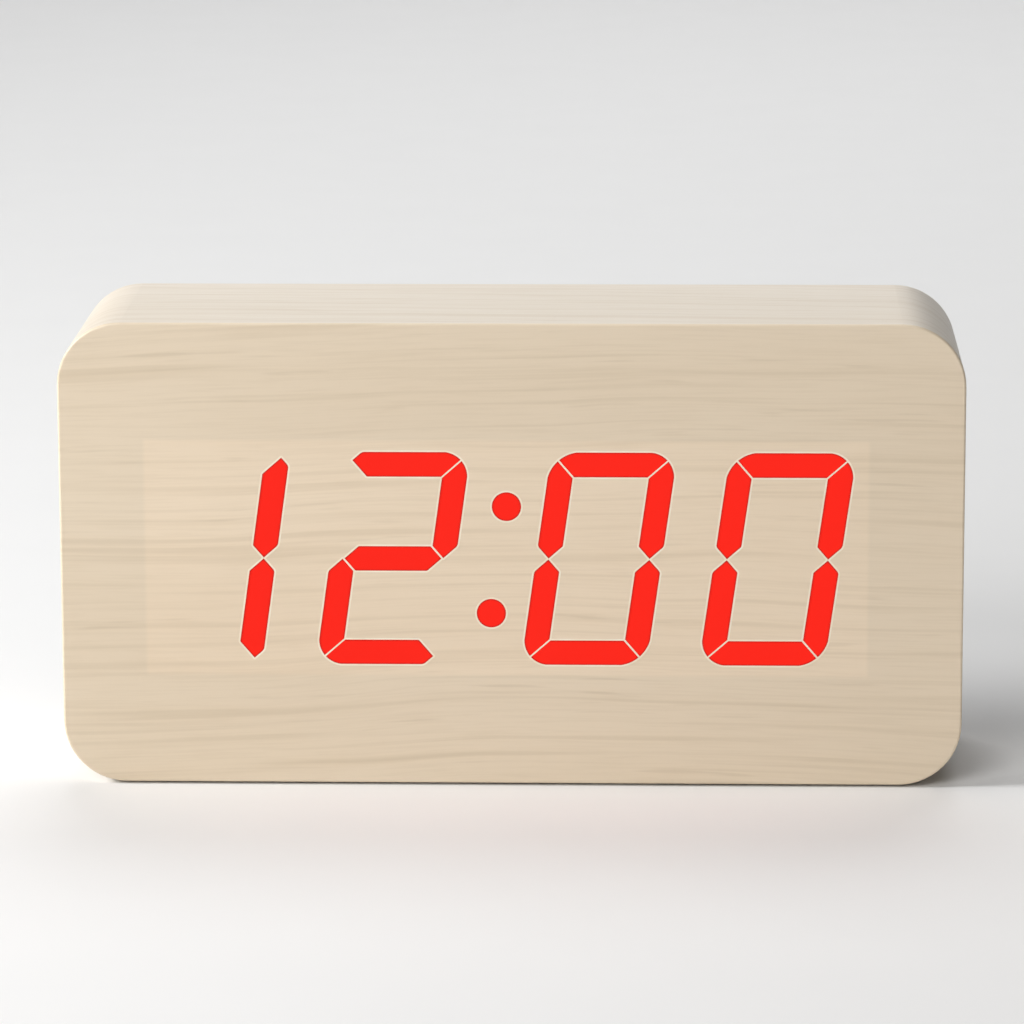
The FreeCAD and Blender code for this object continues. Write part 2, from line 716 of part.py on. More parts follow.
def rear_cover():
    body = new_body("rear_cover", y="cover_front")
    posts = [(f"button_board_x + {a} * post_x", f"{b} * post_z") for a, b in FOUR]
    post_length = "cover_front - button_back"
    buttons = [(x, "button_z") for x in button_columns()]
    sound = [(f"sound_x + sound_ring * {math.cos(math.radians(60 * i)):.5f}",
              f"sound_z + sound_ring * {math.sin(math.radians(60 * i)):.5f}") for i in range(6)]
    sound.append(("sound_x", "sound_z"))
    floor = "cover_thickness - door_thickness - 0.2"
    grow(body, "cover_plate", "0", "cover_thickness",
         ("round", "cover_width", "cover_height", "cover_corner"))
    grow(body, "tub", "-tub_depth", "tub_depth", ("round", "tub_width", "tub_height", "1.5", "bay_x", "0"))
    grow(body, "posts", f"-({post_length})", post_length, *[("circle", "post_diameter", *p) for p in posts])
    carve(body, "door_recess", floor, "cover_thickness",
          ("box", "recess_width", "recess_height", "bay_x", "0"))
    carve(body, "bay", "-bay_depth", "bay_depth + cover_thickness",
          ("box", "bay_width", "bay_height", "bay_x", "0"))
    carve(body, "knuckle_groove", "hinge_y - cover_front - knuckle_diameter / 2 - door_gap", "cover_thickness",
          ("box", "recess_width", "knuckle_diameter + 2 * door_gap", "bay_x", "hinge_z"))
    carve(body, "hinge_holes", "bay_x - tub_width / 2 - 0.1", "tub_width + 0.2",
          ("circle", "pin_diameter + 2 * pin_clearance", "hinge_y - cover_front", "hinge_z"), plane="YZ_Plane")
    carve(body, "thumb_notch", "cover_thickness - 0.9", "0.9",
          ("circle", "12", "bay_x", "-door_height / 2 - 2"))
    tails = [(f"bay_x + {side} * (bay_width - contact_thickness) / 2", f"{side} * cell_pitch")
             for side in (-1, 1)]
    carve(body, "tail_slots", "-tub_depth", "tub_depth - bay_depth",
          *[("box", "contact_thickness + 0.2", "tail_width + 0.2", *p) for p in tails])
    carve(body, "cover_holes", "0", "cover_thickness",
          *four_circles("screw_clearance", "cover_screw_x", "cover_screw_z"))
    carve(body, "cover_bores", "cover_thickness - 1.2", "1.2",
          *four_circles("4.4", "cover_screw_x", "cover_screw_z"))
    carve(body, "button_holes", "0", "cover_thickness",
          *[("circle", "button_diameter + 2 * button_gap", *p) for p in buttons])
    carve(body, "inlet_slot", "0", "cover_thickness", ("round", "9.6", "3.9", "1.9", "inlet_x", "inlet_z"))
    carve(body, "sound_holes", "0", "cover_thickness", *[("circle", "sound_diameter", *p) for p in sound])
    carve(body, "post_pilots", f"-({post_length})", "6", *[("circle", "pilot_diameter", *p) for p in posts])
    places = [(f"{a} * cover_screw_x", f"{b} * cover_screw_z") for a, b in FOUR]
    seat = "cover_front + cover_thickness - 1.2"
    screw_set("rear_screws", "0", seat, "centre_height", places, "4", "1.1", "9")


def battery_door():
    """Door of the battery bay; its own origin is on the hinge line."""
    body = new_body("battery_door", "bay_x", "hinge_y", "centre_height + hinge_z")
    back = "knuckle_diameter / 2 - door_thickness"
    grow(body, "door_plate", back, "door_thickness",
         ("box", "door_width", "door_drop", "0", "-door_drop / 2"))
    grow(body, "knuckle", "-door_width / 2", "door_width", ("circle", "knuckle_diameter"), plane="YZ_Plane")
    grow(body, "door_pins", "-door_width / 2 - pin_reach", "door_width + 2 * pin_reach",
         ("circle", "pin_diameter"), plane="YZ_Plane")
    ridges = [("round", "14", "0.7", "0.3", "0", f"{i * 1.6 + 3} - door_drop") for i in range(4)]
    carve(body, "grip_grooves", "knuckle_diameter / 2 - 0.4", "0.4", *ridges)


def battery_cell(name, step):
    """One cell lying across the bay; the middle one is turned end for end."""
    turned = step == 0
    shift = "-spring_length / 2" if turned else "spring_length / 2"
    body = new_body(name, f"bay_x + {shift}", "cell_y", f"centre_height + {step} * cell_pitch")
    body.Placement.Rotation = FreeCAD.Rotation(FreeCAD.Vector(0, 0, 1), 180 if turned else 0)
    can = "cell_length - nub_length"
    grow(body, name + "_can", "-cell_length / 2", can, ("circle", "cell_diameter"), plane="YZ_Plane")
    rims = [edge for level in ("-cell_length / 2", "cell_length / 2 - nub_length")
            for edge in edges_in_plane(body.Tip.Shape, "X", number(level))]
    soften(body, name + "_rims", "0.5", rims)
    grow(body, name + "_nub", "cell_length / 2 - nub_length", "nub_length", ("circle", "nub_diameter"),
         plane="YZ_Plane")


def contact_plates():
    """Two end plates with a tail to the front, and two plates that join neighbouring cells."""
    body = new_body("contact_plates", "bay_x", "cell_y", group=True)
    joined = "contact_width + cell_pitch"
    for side, word in ((-1, "left"), (1, "right")):
        start = "-bay_width / 2" if side < 0 else "contact_face"
        grow(body, word + "_plates", start, "contact_thickness",
             ("box", "contact_width", "contact_width", "0", f"{side} * cell_pitch"),
             ("box", "contact_width", joined, "0", f"{-side} * cell_pitch / 2"), plane="YZ_Plane")
        reach = "cell_y - contact_width / 2 - tub_front + tail_length / 2"
        grow(body, word + "_tail", start, "contact_thickness",
             ("box", reach, "tail_width", f"-contact_width / 2 - ({reach}) / 2", f"{side} * cell_pitch"),
             plane="YZ_Plane")


def spring(step):
    """Coil pressing on the flat end of one cell."""
    side = 1 if step == 0 else -1
    wire = number("spring_wire")
    length = number("spring_length") - wire - 0.04
    turns = number("spring_turns")
    coil = Part.makeLongHelix(length / turns, length, number("spring_radius"))
    ring = Part.makeCircle(wire / 2, FreeCAD.Vector(number("spring_radius"), 0, 0), FreeCAD.Vector(0, 1, 0))
    solid = Part.Wire(coil).makePipeShell([Part.Wire(ring)], True, True)
    solid.rotate(FreeCAD.Vector(0, 0, 0), FreeCAD.Vector(0, 1, 0), -90 * side)
    start = side * (number("contact_face") - wire / 2 - 0.02)
    height = number("centre_height") + step * number("cell_pitch")
    solid.translate(FreeCAD.Vector(number("bay_x") + start, number("cell_y"), height))
    return solid


def batteries():
    for name, step in (("cell_bottom", -1), ("cell_middle", 0), ("cell_top", 1)):
        battery_cell(name, step)
    contact_plates()
    add_solids("contact_springs", [spring(step) for step in (-1, 0, 1)])


# ---------------------------------------------------------------- buttons and power inlet

def button_columns():
    return [f"button_first + {i} * button_pitch" for i in range(3)]


def button_board():
    body = new_body("button_board", "button_board_x", "button_board_y")
    grow(body, "button_plate", "0", "board_thickness",
         ("round", "button_board_width", "button_board_height", "board_corner"))
    carve(body, "button_board_holes", "0", "board_thickness",
          *four_circles("screw_clearance", "post_x", "post_z"))
    places = [(f"{a} * post_x", f"{b} * post_z") for a, b in FOUR]
    screw_set("button_board_screws", "button_board_x", "button_board_y", "centre_height", places,
              "3.8", "1.3", "6", to_rear=False)


def switches():
    body = new_body("switch_bodies", "0", "button_back", "centre_height + button_z", group=True)
    columns = button_columns()
    grow(body, "switch_blocks", "0", "switch_height",
         *[("box", "switch_width", "switch_width", x, "0") for x in columns])
    carve(body, "switch_wells", "dome_floor - button_back", "switch_height",
          *[("circle", "stem_diameter + 2 * button_gap", x, "0") for x in columns])
    add_solids("switch_domes", [snap_dome(number(x)) for x in columns])


def snap_dome(across):
    """Thin curved disc under a stem."""
    rim = number("stem_diameter / 2 + 0.2")
    rise = 0.5
    radius = (rim * rim + rise * rise) / (2 * rise)
    middle = FreeCAD.Vector(across, number("dome_floor") + rise - radius, number("centre_height + button_z"))
    shell = Part.makeSphere(radius, middle).cut(Part.makeSphere(radius - 0.1, middle))
    floor = FreeCAD.Vector(across, number("dome_floor"), middle.z)
    return shell.common(Part.makeCylinder(2 * rim, rise + 1, floor, FreeCAD.Vector(0, 1, 0)))


def button(name, column, marks):
    """A cap with a flange behind the cover, and the switch stem it pushes."""
    cap = new_body(name + "_button", column, "cover_front", "centre_height + button_z")
    grow(cap, name + "_flange", "-flange_height - 0.1", "flange_height", ("circle", "flange_diameter"))
    grow(cap, name + "_shaft", "-0.1", "button_top - cover_front + 0.1", ("circle", "button_diameter"))
    rim = edges_in_plane(cap.Tip.Shape, "Y", number("button_top - cover_front"))
    soften(cap, name + "_rim", "0.4", rim)
    for index, mark in enumerate(marks):
        carve(cap, f"{name}_mark{index}", "button_top - cover_front - 0.3", "0.3", mark)
    stem = new_body(name + "_stem", column, "stem_foot", "centre_height + button_z")
    grow(stem, name + "_rod", "0", "cover_front - flange_height - 0.1 - stem_foot",
         ("circle", "stem_diameter"))


def buttons():
    marks = {
        "set": [("circle", "1.8")],
        "up": [("box", "2.6", "0.6"), ("box", "0.6", "2.6")],
        "down": [("box", "2.6", "0.6")],
    }
    for column, name in zip(button_columns(), marks):
        button(name, column, marks[name])


def power_inlet():
    shell = new_body("usb_shell", "inlet_x", "button_back", "centre_height + inlet_z")
    grow(shell, "shell", "0", "inlet_length", ("round", "inlet_width", "inlet_height", "1.6"))
    carve(shell, "shell_mouth", "0.5", "inlet_length",
          ("round", "inlet_width - 2 * inlet_wall", "inlet_height - 2 * inlet_wall", "1.3"))
    tongue = new_body("usb_tongue", "inlet_x", "button_back", "centre_height + inlet_z")
    grow(tongue, "tongue", "0.5", "inlet_length - 1.2", ("round", "6.7", "0.7", "0.2"))


# ---------------------------------------------------------------- cables

def s_run(name, section, x, y, z, side, length):
    """A cable that starts at x, y, z and runs to the rear, stepping sideways through two bends."""
    body = new_body(name, x, y, z)
    path = new_sketch(body, name + "_path", "0", "XY_Plane")
    bend = number("cable_bend")
    end = number(length)
    straight = (end - 2 * bend) / 2
    step = 2 * side * bend
    up = FreeCAD.Vector(0, 0, 1)
    first = Part.Circle(FreeCAD.Vector(side * bend, straight, 0), up, bend)
    second = Part.Circle(FreeCAD.Vector(side * bend, end - straight, 0), up, bend)
    quarter = math.pi / 2
    turn_in = (quarter, 2 * quarter) if side > 0 else (0, quarter)
    turn_out = (3 * quarter, 4 * quarter) if side > 0 else (2 * quarter, 3 * quarter)
    path.addGeometry([
        Part.LineSegment(FreeCAD.Vector(0, 0, 0), FreeCAD.Vector(0, straight, 0)),
        Part.ArcOfCircle(first, *turn_in),
        Part.ArcOfCircle(second, *turn_out),
        Part.LineSegment(FreeCAD.Vector(step, end - straight, 0), FreeCAD.Vector(step, end, 0)),
    ])
    near, far = (2, 1) if side > 0 else (1, 2)
    joins = [("Coincident", 0, 1, -1, 1), ("Vertical", 0), ("Vertical", 3), ("Equal", 0, 3),
             ("Tangent", 0, 2, 1, near), ("Tangent", 1, far, 2, far), ("Tangent", 2, near, 3, 1),
             ("Equal", 1, 2)]
    for join in joins:
        path.addConstraint(Sketcher.Constraint(*join))
    set_size(path, Sketcher.Constraint("Radius", 1, bend), "bend", "cable_bend")
    set_size(path, Sketcher.Constraint("DistanceY", -1, 1, 3, 2, end), "length", length)
    set_size(path, Sketcher.Constraint("DistanceX", -1, 1, 3, 2, step), "step", f"{2 * side} * cable_bend")
    profile = outline(body, name, "0", [section], "XZ_Plane")
    doc.recompute()
    pipe = body.newObject("PartDesign::AdditivePipe", name + "_pipe")
    pipe.Profile = profile
    pipe.Spine = (path, [f"Edge{i}" for i in range(1, 5)])
    doc.recompute()


def cables():
    start = "main_back + socket_height"
    s_run("ribbon_cable", ("box", "ribbon_thickness", "ribbon_width"), "ribbon_x", start, "centre_height", 1,
          "button_board_y - socket_height - main_back - socket_height")
    sockets = new_body("ribbon_sockets", "ribbon_x", "main_back", group=True)
    grow(sockets, "main_socket", "0", "socket_height", ("box", "socket_width", "socket_length"))
    grow(sockets, "button_socket", "button_board_y - socket_height - main_back", "socket_height",
         ("box", "socket_width", "socket_length", "2 * cable_bend", "0"))
    section = ("circle", "lead_diameter")
    length = "tub_front - 0.2 - main_back"
    beside = "contact_face - lead_diameter / 2 - 2 * cable_bend"
    s_run("lead_red", section, f"bay_x + {beside}", "main_back", "centre_height + cell_pitch", 1, length)
    s_run("lead_black", section, f"bay_x - ({beside})", "main_back", "centre_height - cell_pitch", -1, length)


# ---------------------------------------------------------------- building and export

def build():
    wood_case()
    film_front()
    film_sides()
    film_rear()
    feet()
    reflector()
    light_guides()
    led_chips()
    main_board()
    board_components()
    rear_cover()
    battery_door()
    batteries()
    button_board()
    switches()
    buttons()
    power_inlet()
    cables()
    doc.removeObject("probe")
    doc.recompute()


HELPERS = ("front_blank", "lit_windows", "reflector_plate", "reflector_lips", "reflector_wells",
           "reflector_whole")


def is_node(item):
    if item.Label in HELPERS or not hasattr(item, "Shape"):
        return False
    if item.TypeId in ("PartDesign::Body", "Part::Feature"):
        return True
    return item.TypeId in ("Part::Cut", "Part::Fuse")


def export_nodes():
    for item in doc.Objects:
        if "Invalid" in item.State or "Error" in item.State:
            raise ValueError(f"{item.Label} is in state {item.State}")
    os.makedirs("parts", exist_ok=True)
    for node in filter(is_node, doc.Objects):
        if node.Shape.isNull() or not node.Shape.isValid():
            raise ValueError(f"{node.Label} has no valid shape")
        node.Shape.exportStep(f"parts/{node.Label}.step")
        print(f"{node.Label}: {len(node.Shape.Solids)} solid(s), {node.Shape.Volume:.2f} mm3")


build()
export_nodes()
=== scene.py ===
"""Looks of the alarm clock: procedural materials on the CAD nodes, soft studio light and camera."""
import math

import bpy
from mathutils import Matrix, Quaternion, Vector


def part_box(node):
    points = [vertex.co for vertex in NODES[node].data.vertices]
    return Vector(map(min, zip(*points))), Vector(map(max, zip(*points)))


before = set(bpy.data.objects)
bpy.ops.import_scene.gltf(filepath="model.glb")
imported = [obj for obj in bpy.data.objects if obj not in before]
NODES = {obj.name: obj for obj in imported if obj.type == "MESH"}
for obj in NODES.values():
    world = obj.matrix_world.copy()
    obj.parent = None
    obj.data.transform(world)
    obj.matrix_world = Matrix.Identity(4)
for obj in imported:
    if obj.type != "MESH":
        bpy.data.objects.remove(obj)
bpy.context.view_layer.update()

MM = 0.001
CASE_LOW, CASE_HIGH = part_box("wood_case")
CASE_MIDDLE = (CASE_LOW + CASE_HIGH) / 2


# ---------------------------------------------------------------- node helpers

def srgb(red, green, blue):
    """Linear colour of 0 to 255 display values."""
    def linear(value):
        value /= 255
        return value / 12.92 if value <= 0.04045 else ((value + 0.055) / 1.055) ** 2.4
    return (linear(red), linear(green), linear(blue), 1.0)


class Look:
    """A material under construction: short calls that add nodes and join them."""

    def __init__(self, name, roughness=0.5, metallic=0.0, specular=0.5):
        self.material = bpy.data.materials.new(name)
        self.material.use_nodes = True
        self.tree = self.material.node_tree
        self.shader = self.tree.nodes["Principled BSDF"]
        self.shader.inputs["Roughness"].default_value = roughness
        self.shader.inputs["Metallic"].default_value = metallic
        self.shader.inputs["Specular IOR Level"].default_value = specular
        self.place = self.add("ShaderNodeTexCoord").outputs["Object"]

    def add(self, kind, **settings):
        node = self.tree.nodes.new(kind)
        for name, value in settings.items():
            setattr(node, name, value)
        return node

    def plug(self, socket, value):
        """Join a socket to another node's output, or set it to a plain value."""
        if isinstance(value, bpy.types.NodeSocket):
            self.tree.links.new(value, socket)
        elif value is not None:
            socket.default_value = value

    def math(self, operation, first, second=None, third=None):
        node = self.add("ShaderNodeMath", operation=operation)
        for socket, value in zip(node.inputs, (first, second, third)):
            self.plug(socket, value)
        return node.outputs[0]

    def split(self, vector=None):
        node = self.add("ShaderNodeSeparateXYZ")
        self.plug(node.inputs[0], vector or self.place)
        return node.outputs

    def join(self, x, y, z):
        node = self.add("ShaderNodeCombineXYZ")
        for socket, value in zip(node.inputs, (x, y, z)):
            self.plug(socket, value)
        return node.outputs[0]

    def scaled(self, factors, vector=None):
        """The place on the object stretched by three factors, in cycles per metre."""
        node = self.add("ShaderNodeVectorMath", operation="MULTIPLY")
        self.plug(node.inputs[0], vector or self.place)
        node.inputs[1].default_value = factors
        return node.outputs[0]

    def noise(self, vector, detail=2.0, roughness=0.5, distortion=0.0):
        node = self.add("ShaderNodeTexNoise")
        self.plug(node.inputs["Vector"], vector)
        node.inputs["Scale"].default_value = 1.0
        node.inputs["Detail"].default_value = detail
        node.inputs["Roughness"].default_value = roughness
        node.inputs["Distortion"].default_value = distortion
        return node.outputs["Fac"]

    def ramp(self, value, low, high, start=0.0, end=1.0):
        """Smooth step from start to end as value goes from low to high."""
        node = self.add("ShaderNodeMapRange", interpolation_type="SMOOTHSTEP")
        for name, number in (("Value", value), ("From Min", low), ("From Max", high), ("To Min", start),
                             ("To Max", end)):
            self.plug(node.inputs[name], number)
        return node.outputs["Result"]

    def mix(self, amount, first, second, blend="MIX"):
        node = self.add("ShaderNodeMix", data_type="RGBA", blend_type=blend)
        self.plug(node.inputs["Factor"], amount)
        self.plug(node.inputs[6], first)
        self.plug(node.inputs[7], second)
        return node.outputs[2]

    def colour(self, value):
        self.plug(self.shader.inputs["Base Color"], value)

    def roughness(self, value):
        self.plug(self.shader.inputs["Roughness"], value)

    def bump(self, height, distance, strength=1.0):
        node = self.add("ShaderNodeBump")
        node.inputs["Strength"].default_value = strength
        node.inputs["Distance"].default_value = distance
        self.plug(node.inputs["Height"], height)
        self.plug(self.shader.inputs["Normal"], node.outputs[0])

    def glow(self, colour, strength):
        self.plug(self.shader.inputs["Emission Color"], colour)
        self.shader.inputs["Emission Strength"].default_value = strength


def give(look, *names):
    """Put a finished look on every slot of these CAD nodes."""
    for name in names:
        data = NODES[name].data
        if not data.materials:
            data.materials.append(look.material)
        for index in range(len(data.materials)):
            data.materials[index] = look.material


# ---------------------------------------------------------------- maple film

FILM_PALE = srgb(233, 216, 191)
FILM_WARM = srgb(229, 211, 185)
# Side and top film: the same maple as the front, but painted paler and greyer as a painted sheen for the
# whitish look of grazing light on the top and sides.
SIDE_SHEEN_PALE = srgb(236, 225, 209)
SIDE_SHEEN_WARM = srgb(232, 220, 202)
FILM_LINE = srgb(203, 183, 154)
FILM_FLECK = srgb(190, 169, 140)
WINDOW_LIFT = (1.068, 1.053, 1.045, 1.0)
WINDOW_MIDDLE = (-0.83 * MM, CASE_MIDDLE.z - 0.5 * MM)
WINDOW_HALF = (60.0 * MM, 19.9 * MM)
GRAIN_SWAY = 5.0 * MM
GRAIN_SLOPE = 0.012
GRAIN_ARCH = 0.32


def in_window(look, x, z):
    """1 inside the faintly paler rectangle over the display, 0 outside."""
    parts = []
    for place, middle, half in zip((x, z), WINDOW_MIDDLE, WINDOW_HALF):
        away = look.math("ABSOLUTE", look.math("SUBTRACT", place, middle))
        parts.append(look.ramp(away, half - 0.5 * MM, half + 0.5 * MM, 1, 0))
    return look.math("MULTIPLY", *parts)


def grain(look, along, across, cycles_along, cycles_across, offset, detail=2.0, distortion=0.0):
    """Noise drawn out along the wood."""
    return look.noise(look.join(look.math("MULTIPLY", along, cycles_along),
                                look.math("MULTIPLY", across, cycles_across), offset),
                      detail=detail, distortion=distortion)


def bent_level(look, along, level):
    """The level bent so that the grain lines wander a little and arch over the middle."""
    sway = grain(look, along, level, 17.0, 26.0, 5.2, detail=1)
    sway = look.math("MULTIPLY", look.math("SUBTRACT", sway, 0.5), GRAIN_SWAY)
    slope = look.math("SUBTRACT", look.math("MULTIPLY", along, GRAIN_ARCH), GRAIN_SLOPE)
    arch = look.math("MULTIPLY", along, slope)
    return look.math("ADD", look.math("ADD", level, sway), arch)


def maple(name, across_axis, pale=FILM_PALE, warm=FILM_WARM, window=False):
    """Pale straight-grained wood; across_axis is the axis that the grain lines are stacked along."""
    look = Look(name, roughness=0.42, specular=0.5)
    x, y, z = look.split()
    level = z if across_axis == "z" else y
    along = x if across_axis == "z" else look.math("ADD", x, z)
    across = bent_level(look, along, level)
    lines = grain(look, along, across, 7.0, 330.0, 3.1)
    thin = grain(look, along, across, 11.0, 760.0, 8.7)
    fibres = grain(look, along, across, 90.0, 2400.0, 1.3, detail=3)
    flecks = grain(look, along, across, 60.0, 900.0, 6.4, detail=1)
    broad = grain(look, along, across, 7.0, 34.0, 2.2)
    tone = look.mix(look.ramp(broad, 0.3, 0.7), pale, warm)
    tone = look.mix(look.ramp(lines, 0.58, 0.7, 0.0, 0.35), tone, FILM_LINE)
    tone = look.mix(look.ramp(thin, 0.52, 0.7, 0.0, 0.27), tone, FILM_LINE)
    tone = look.mix(look.ramp(fibres, 0.4, 0.75, 0.0, 0.16), tone, FILM_LINE)
    tone = look.mix(look.ramp(flecks, 0.66, 0.8, 0.0, 0.22), tone, FILM_FLECK)
    if window:
        tone = look.mix(in_window(look, x, z), tone, WINDOW_LIFT, blend="MULTIPLY")
    look.colour(tone)
    look.roughness(look.ramp(fibres, 0.2, 0.8, 0.38, 0.5))
    look.bump(fibres, 0.02 * MM, 0.4)
    look.shader.inputs["Coat Weight"].default_value = 0.35
    look.shader.inputs["Coat Roughness"].default_value = 0.35
    return look


# ---------------------------------------------------------------- display

LIT_RED = srgb(253, 33, 17)
RIM_RED = srgb(176, 22, 14)
LIT_STRENGTH = 0.97
RIM_RADIUS = 1.0 * MM


def away_from_edge(look, radius):
    """0 at the edges of a piece, 1 inside a rim much thinner than the radius."""
    eased = look.add("ShaderNodeBevel", samples=8)
    eased.inputs["Radius"].default_value = radius
    flat = look.add("ShaderNodeNewGeometry").outputs["True Normal"]
    match = look.add("ShaderNodeVectorMath", operation="DOT_PRODUCT")
    look.plug(match.inputs[0], eased.outputs["Normal"])
    look.plug(match.inputs[1], flat)
    return look.ramp(match.outputs["Value"], 0.72, 0.97)


def lit_diffuser():
    """Red light guide that glows, slightly darker at its rim."""
    look = Look("lit_diffuser", roughness=0.6, specular=0.15)
    cloud = look.noise(look.scaled((400, 400, 400)), detail=1)
    look.colour(look.mix(cloud, srgb(60, 4, 3), srgb(40, 3, 2)))
    look.glow(look.mix(away_from_edge(look, RIM_RADIUS), RIM_RED, LIT_RED), LIT_STRENGTH)
    return look


def cream_plastic(name, light, dark):
    """Smooth plastic with faint clouding."""
    look = Look(name, roughness=0.55, specular=0.3)
    cloud = look.noise(look.scaled((300, 300, 300)), detail=2)
    look.colour(look.mix(look.ramp(cloud, 0.3, 0.7), light, dark))
    return look


# ---------------------------------------------------------------- plastics, metals, boards

def moulded(name, light, dark, grain_per_metre, depth, roughness, specular=0.4):
    """Moulded plastic with a fine spark-eroded grain."""
    look = Look(name, roughness=roughness, specular=specular)
    sparks = look.noise(look.scaled((grain_per_metre,) * 3), detail=3, roughness=0.6)
    broad = look.noise(look.scaled((60, 60, 60)), detail=2)
    tone = look.mix(look.ramp(broad, 0.3, 0.7), light, dark)
    look.colour(look.mix(look.ramp(sparks, 0.35, 0.75, 0.0, 0.5), tone, dark))
    look.roughness(look.ramp(sparks, 0.3, 0.7, roughness - 0.06, roughness + 0.08))
    look.bump(sparks, depth, 0.6)
    return look


def plated(name, tone, dark, roughness):
    """Plated or rolled metal with faint brushing and dulled patches."""
    look = Look(name, roughness=roughness, metallic=1.0)
    patches = look.noise(look.scaled((350, 350, 350)), detail=3)
    brushing = look.noise(look.scaled((900, 6000, 900)), detail=2)
    look.colour(look.mix(look.ramp(patches, 0.3, 0.75), tone, dark))
    look.roughness(look.ramp(brushing, 0.3, 0.7, roughness - 0.07, roughness + 0.1))
    look.bump(brushing, 0.01 * MM, 0.3)
    return look


def fibreboard():
    """Brown pressed board with fine flecks."""
    look = Look("fibreboard", roughness=0.85, specular=0.2)
    fleck = look.noise(look.scaled((1400, 1400, 1400)), detail=4, roughness=0.65)
    look.colour(look.mix(look.ramp(fleck, 0.35, 0.7), srgb(186, 150, 108), srgb(140, 104, 68)))
    look.bump(fleck, 0.08 * MM, 0.6)
    return look


def circuit_board():
    """Green solder mask with paler raised tracks."""
    look = Look("circuit_board", roughness=0.35)
    cells = look.add("ShaderNodeTexVoronoi", feature="DISTANCE_TO_EDGE", distance="MANHATTAN")
    cells.inputs["Scale"].default_value = 180
    look.plug(cells.inputs["Vector"], look.place)
    track = look.ramp(cells.outputs["Distance"], 0.06, 0.09, 1, 0)
    look.colour(look.mix(track, srgb(12, 84, 46), srgb(34, 122, 70)))
    look.bump(track, 0.04 * MM, 0.6)
    return look


def cell_sleeve():
    """Shrink sleeve in two plain colours; bare steel at both ends of the cell."""
    look = Look("cell_sleeve", roughness=0.28, specular=0.5)
    x, _, _ = look.split()
    low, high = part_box("cell_middle")
    near_low = look.math("SUBTRACT", x, low.x)
    near_high = look.math("SUBTRACT", high.x, x)
    ends = look.math("MINIMUM", near_low, near_high)
    band = look.ramp(near_low, 15.0 * MM, 15.2 * MM)
    fleck = look.noise(look.scaled((500, 500, 500)), detail=2)
    tone = look.mix(band, srgb(196, 142, 52), srgb(24, 52, 84))
    tone = look.mix(look.ramp(fleck, 0.4, 0.8, 0.0, 0.12), tone, srgb(230, 230, 230))
    bare = look.ramp(ends, 0.9 * MM, 1.0 * MM, 1, 0)
    look.colour(look.mix(bare, tone, srgb(190, 190, 188)))
    look.plug(look.shader.inputs["Metallic"], bare)
    return look


BUTTONS = ("set_button", "up_button", "down_button")
MARK_REACH = 1.6 * MM
MARK_DEPTHS = (0.2 * MM, 0.5 * MM)


def squared_offset(look, place, middle):
    return look.math("POWER", look.math("SUBTRACT", place, middle), 2.0)


def mark_ink(look, button):
    """1 in the sunk mark at the middle of this button's outer face, 0 elsewhere."""
    x, y, z = look.split()
    low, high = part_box(button)
    middle = (low + high) / 2
    shallow, deep = MARK_DEPTHS
    aside = squared_offset(look, x, middle.x)
    above = squared_offset(look, z, middle.z)
    away = look.math("SQRT", look.math("ADD", aside, above))
    near = look.math("LESS_THAN", away, MARK_REACH)
    sunk = look.math("LESS_THAN", y, high.y - shallow)
    not_below = look.math("GREATER_THAN", y, high.y - deep)
    return look.math("MULTIPLY", look.math("MULTIPLY", near, sunk), not_below)


def button_cap():
    """Smooth black cap whose sunk mark is filled with pale ink."""
    look = moulded("button_cap", srgb(44, 44, 46), srgb(34, 34, 36), 2600, 0.01 * MM, 0.42)
    ink = 0.0
    for button in BUTTONS:
        ink = look.math("MAXIMUM", ink, mark_ink(look, button))
    plain = look.shader.inputs["Base Color"].links[0].from_socket
    look.colour(look.mix(ink, plain, srgb(214, 214, 210)))
    return look


def dress_shell():
    give(maple("maple_front", "z", window=True), "front_veneer")
    # Painted sheen: the side film takes paler colours than the front, so its top and sides look whiter
    # as under grazing light.
    give(maple("maple_sides_painted_sheen", "y", SIDE_SHEEN_PALE, SIDE_SHEEN_WARM), "side_veneer")
    give(maple("maple_rear", "z"), "rear_veneer")
    give(fibreboard(), "wood_case")
    give(moulded("foot_pad", srgb(34, 33, 32), srgb(22, 22, 22), 900, 0.03 * MM, 0.85, 0.2), "feet")
    give(moulded("cover_abs", srgb(40, 40, 42), srgb(30, 30, 32), 1700, 0.05 * MM, 0.55), "rear_cover")
    give(moulded("door_abs", srgb(41, 41, 43), srgb(31, 31, 33), 1700, 0.05 * MM, 0.53), "battery_door")
    give(button_cap(), *BUTTONS)


def dress_display():
    give(cream_plastic("reflector_cream", srgb(252, 240, 220), srgb(248, 233, 208)), "segment_reflector")
    give(lit_diffuser(),
         "hour_tens_lit", "hour_units_lit", "minute_tens_lit", "minute_units_lit", "colon_lit")
    give(cream_plastic("unlit_diffuser", srgb(214, 208, 196), srgb(200, 194, 184)), "unlit_segments")
    give(moulded("led_lens", srgb(220, 90, 70), srgb(190, 60, 48), 900, 0.005 * MM, 0.2), "segment_leds")


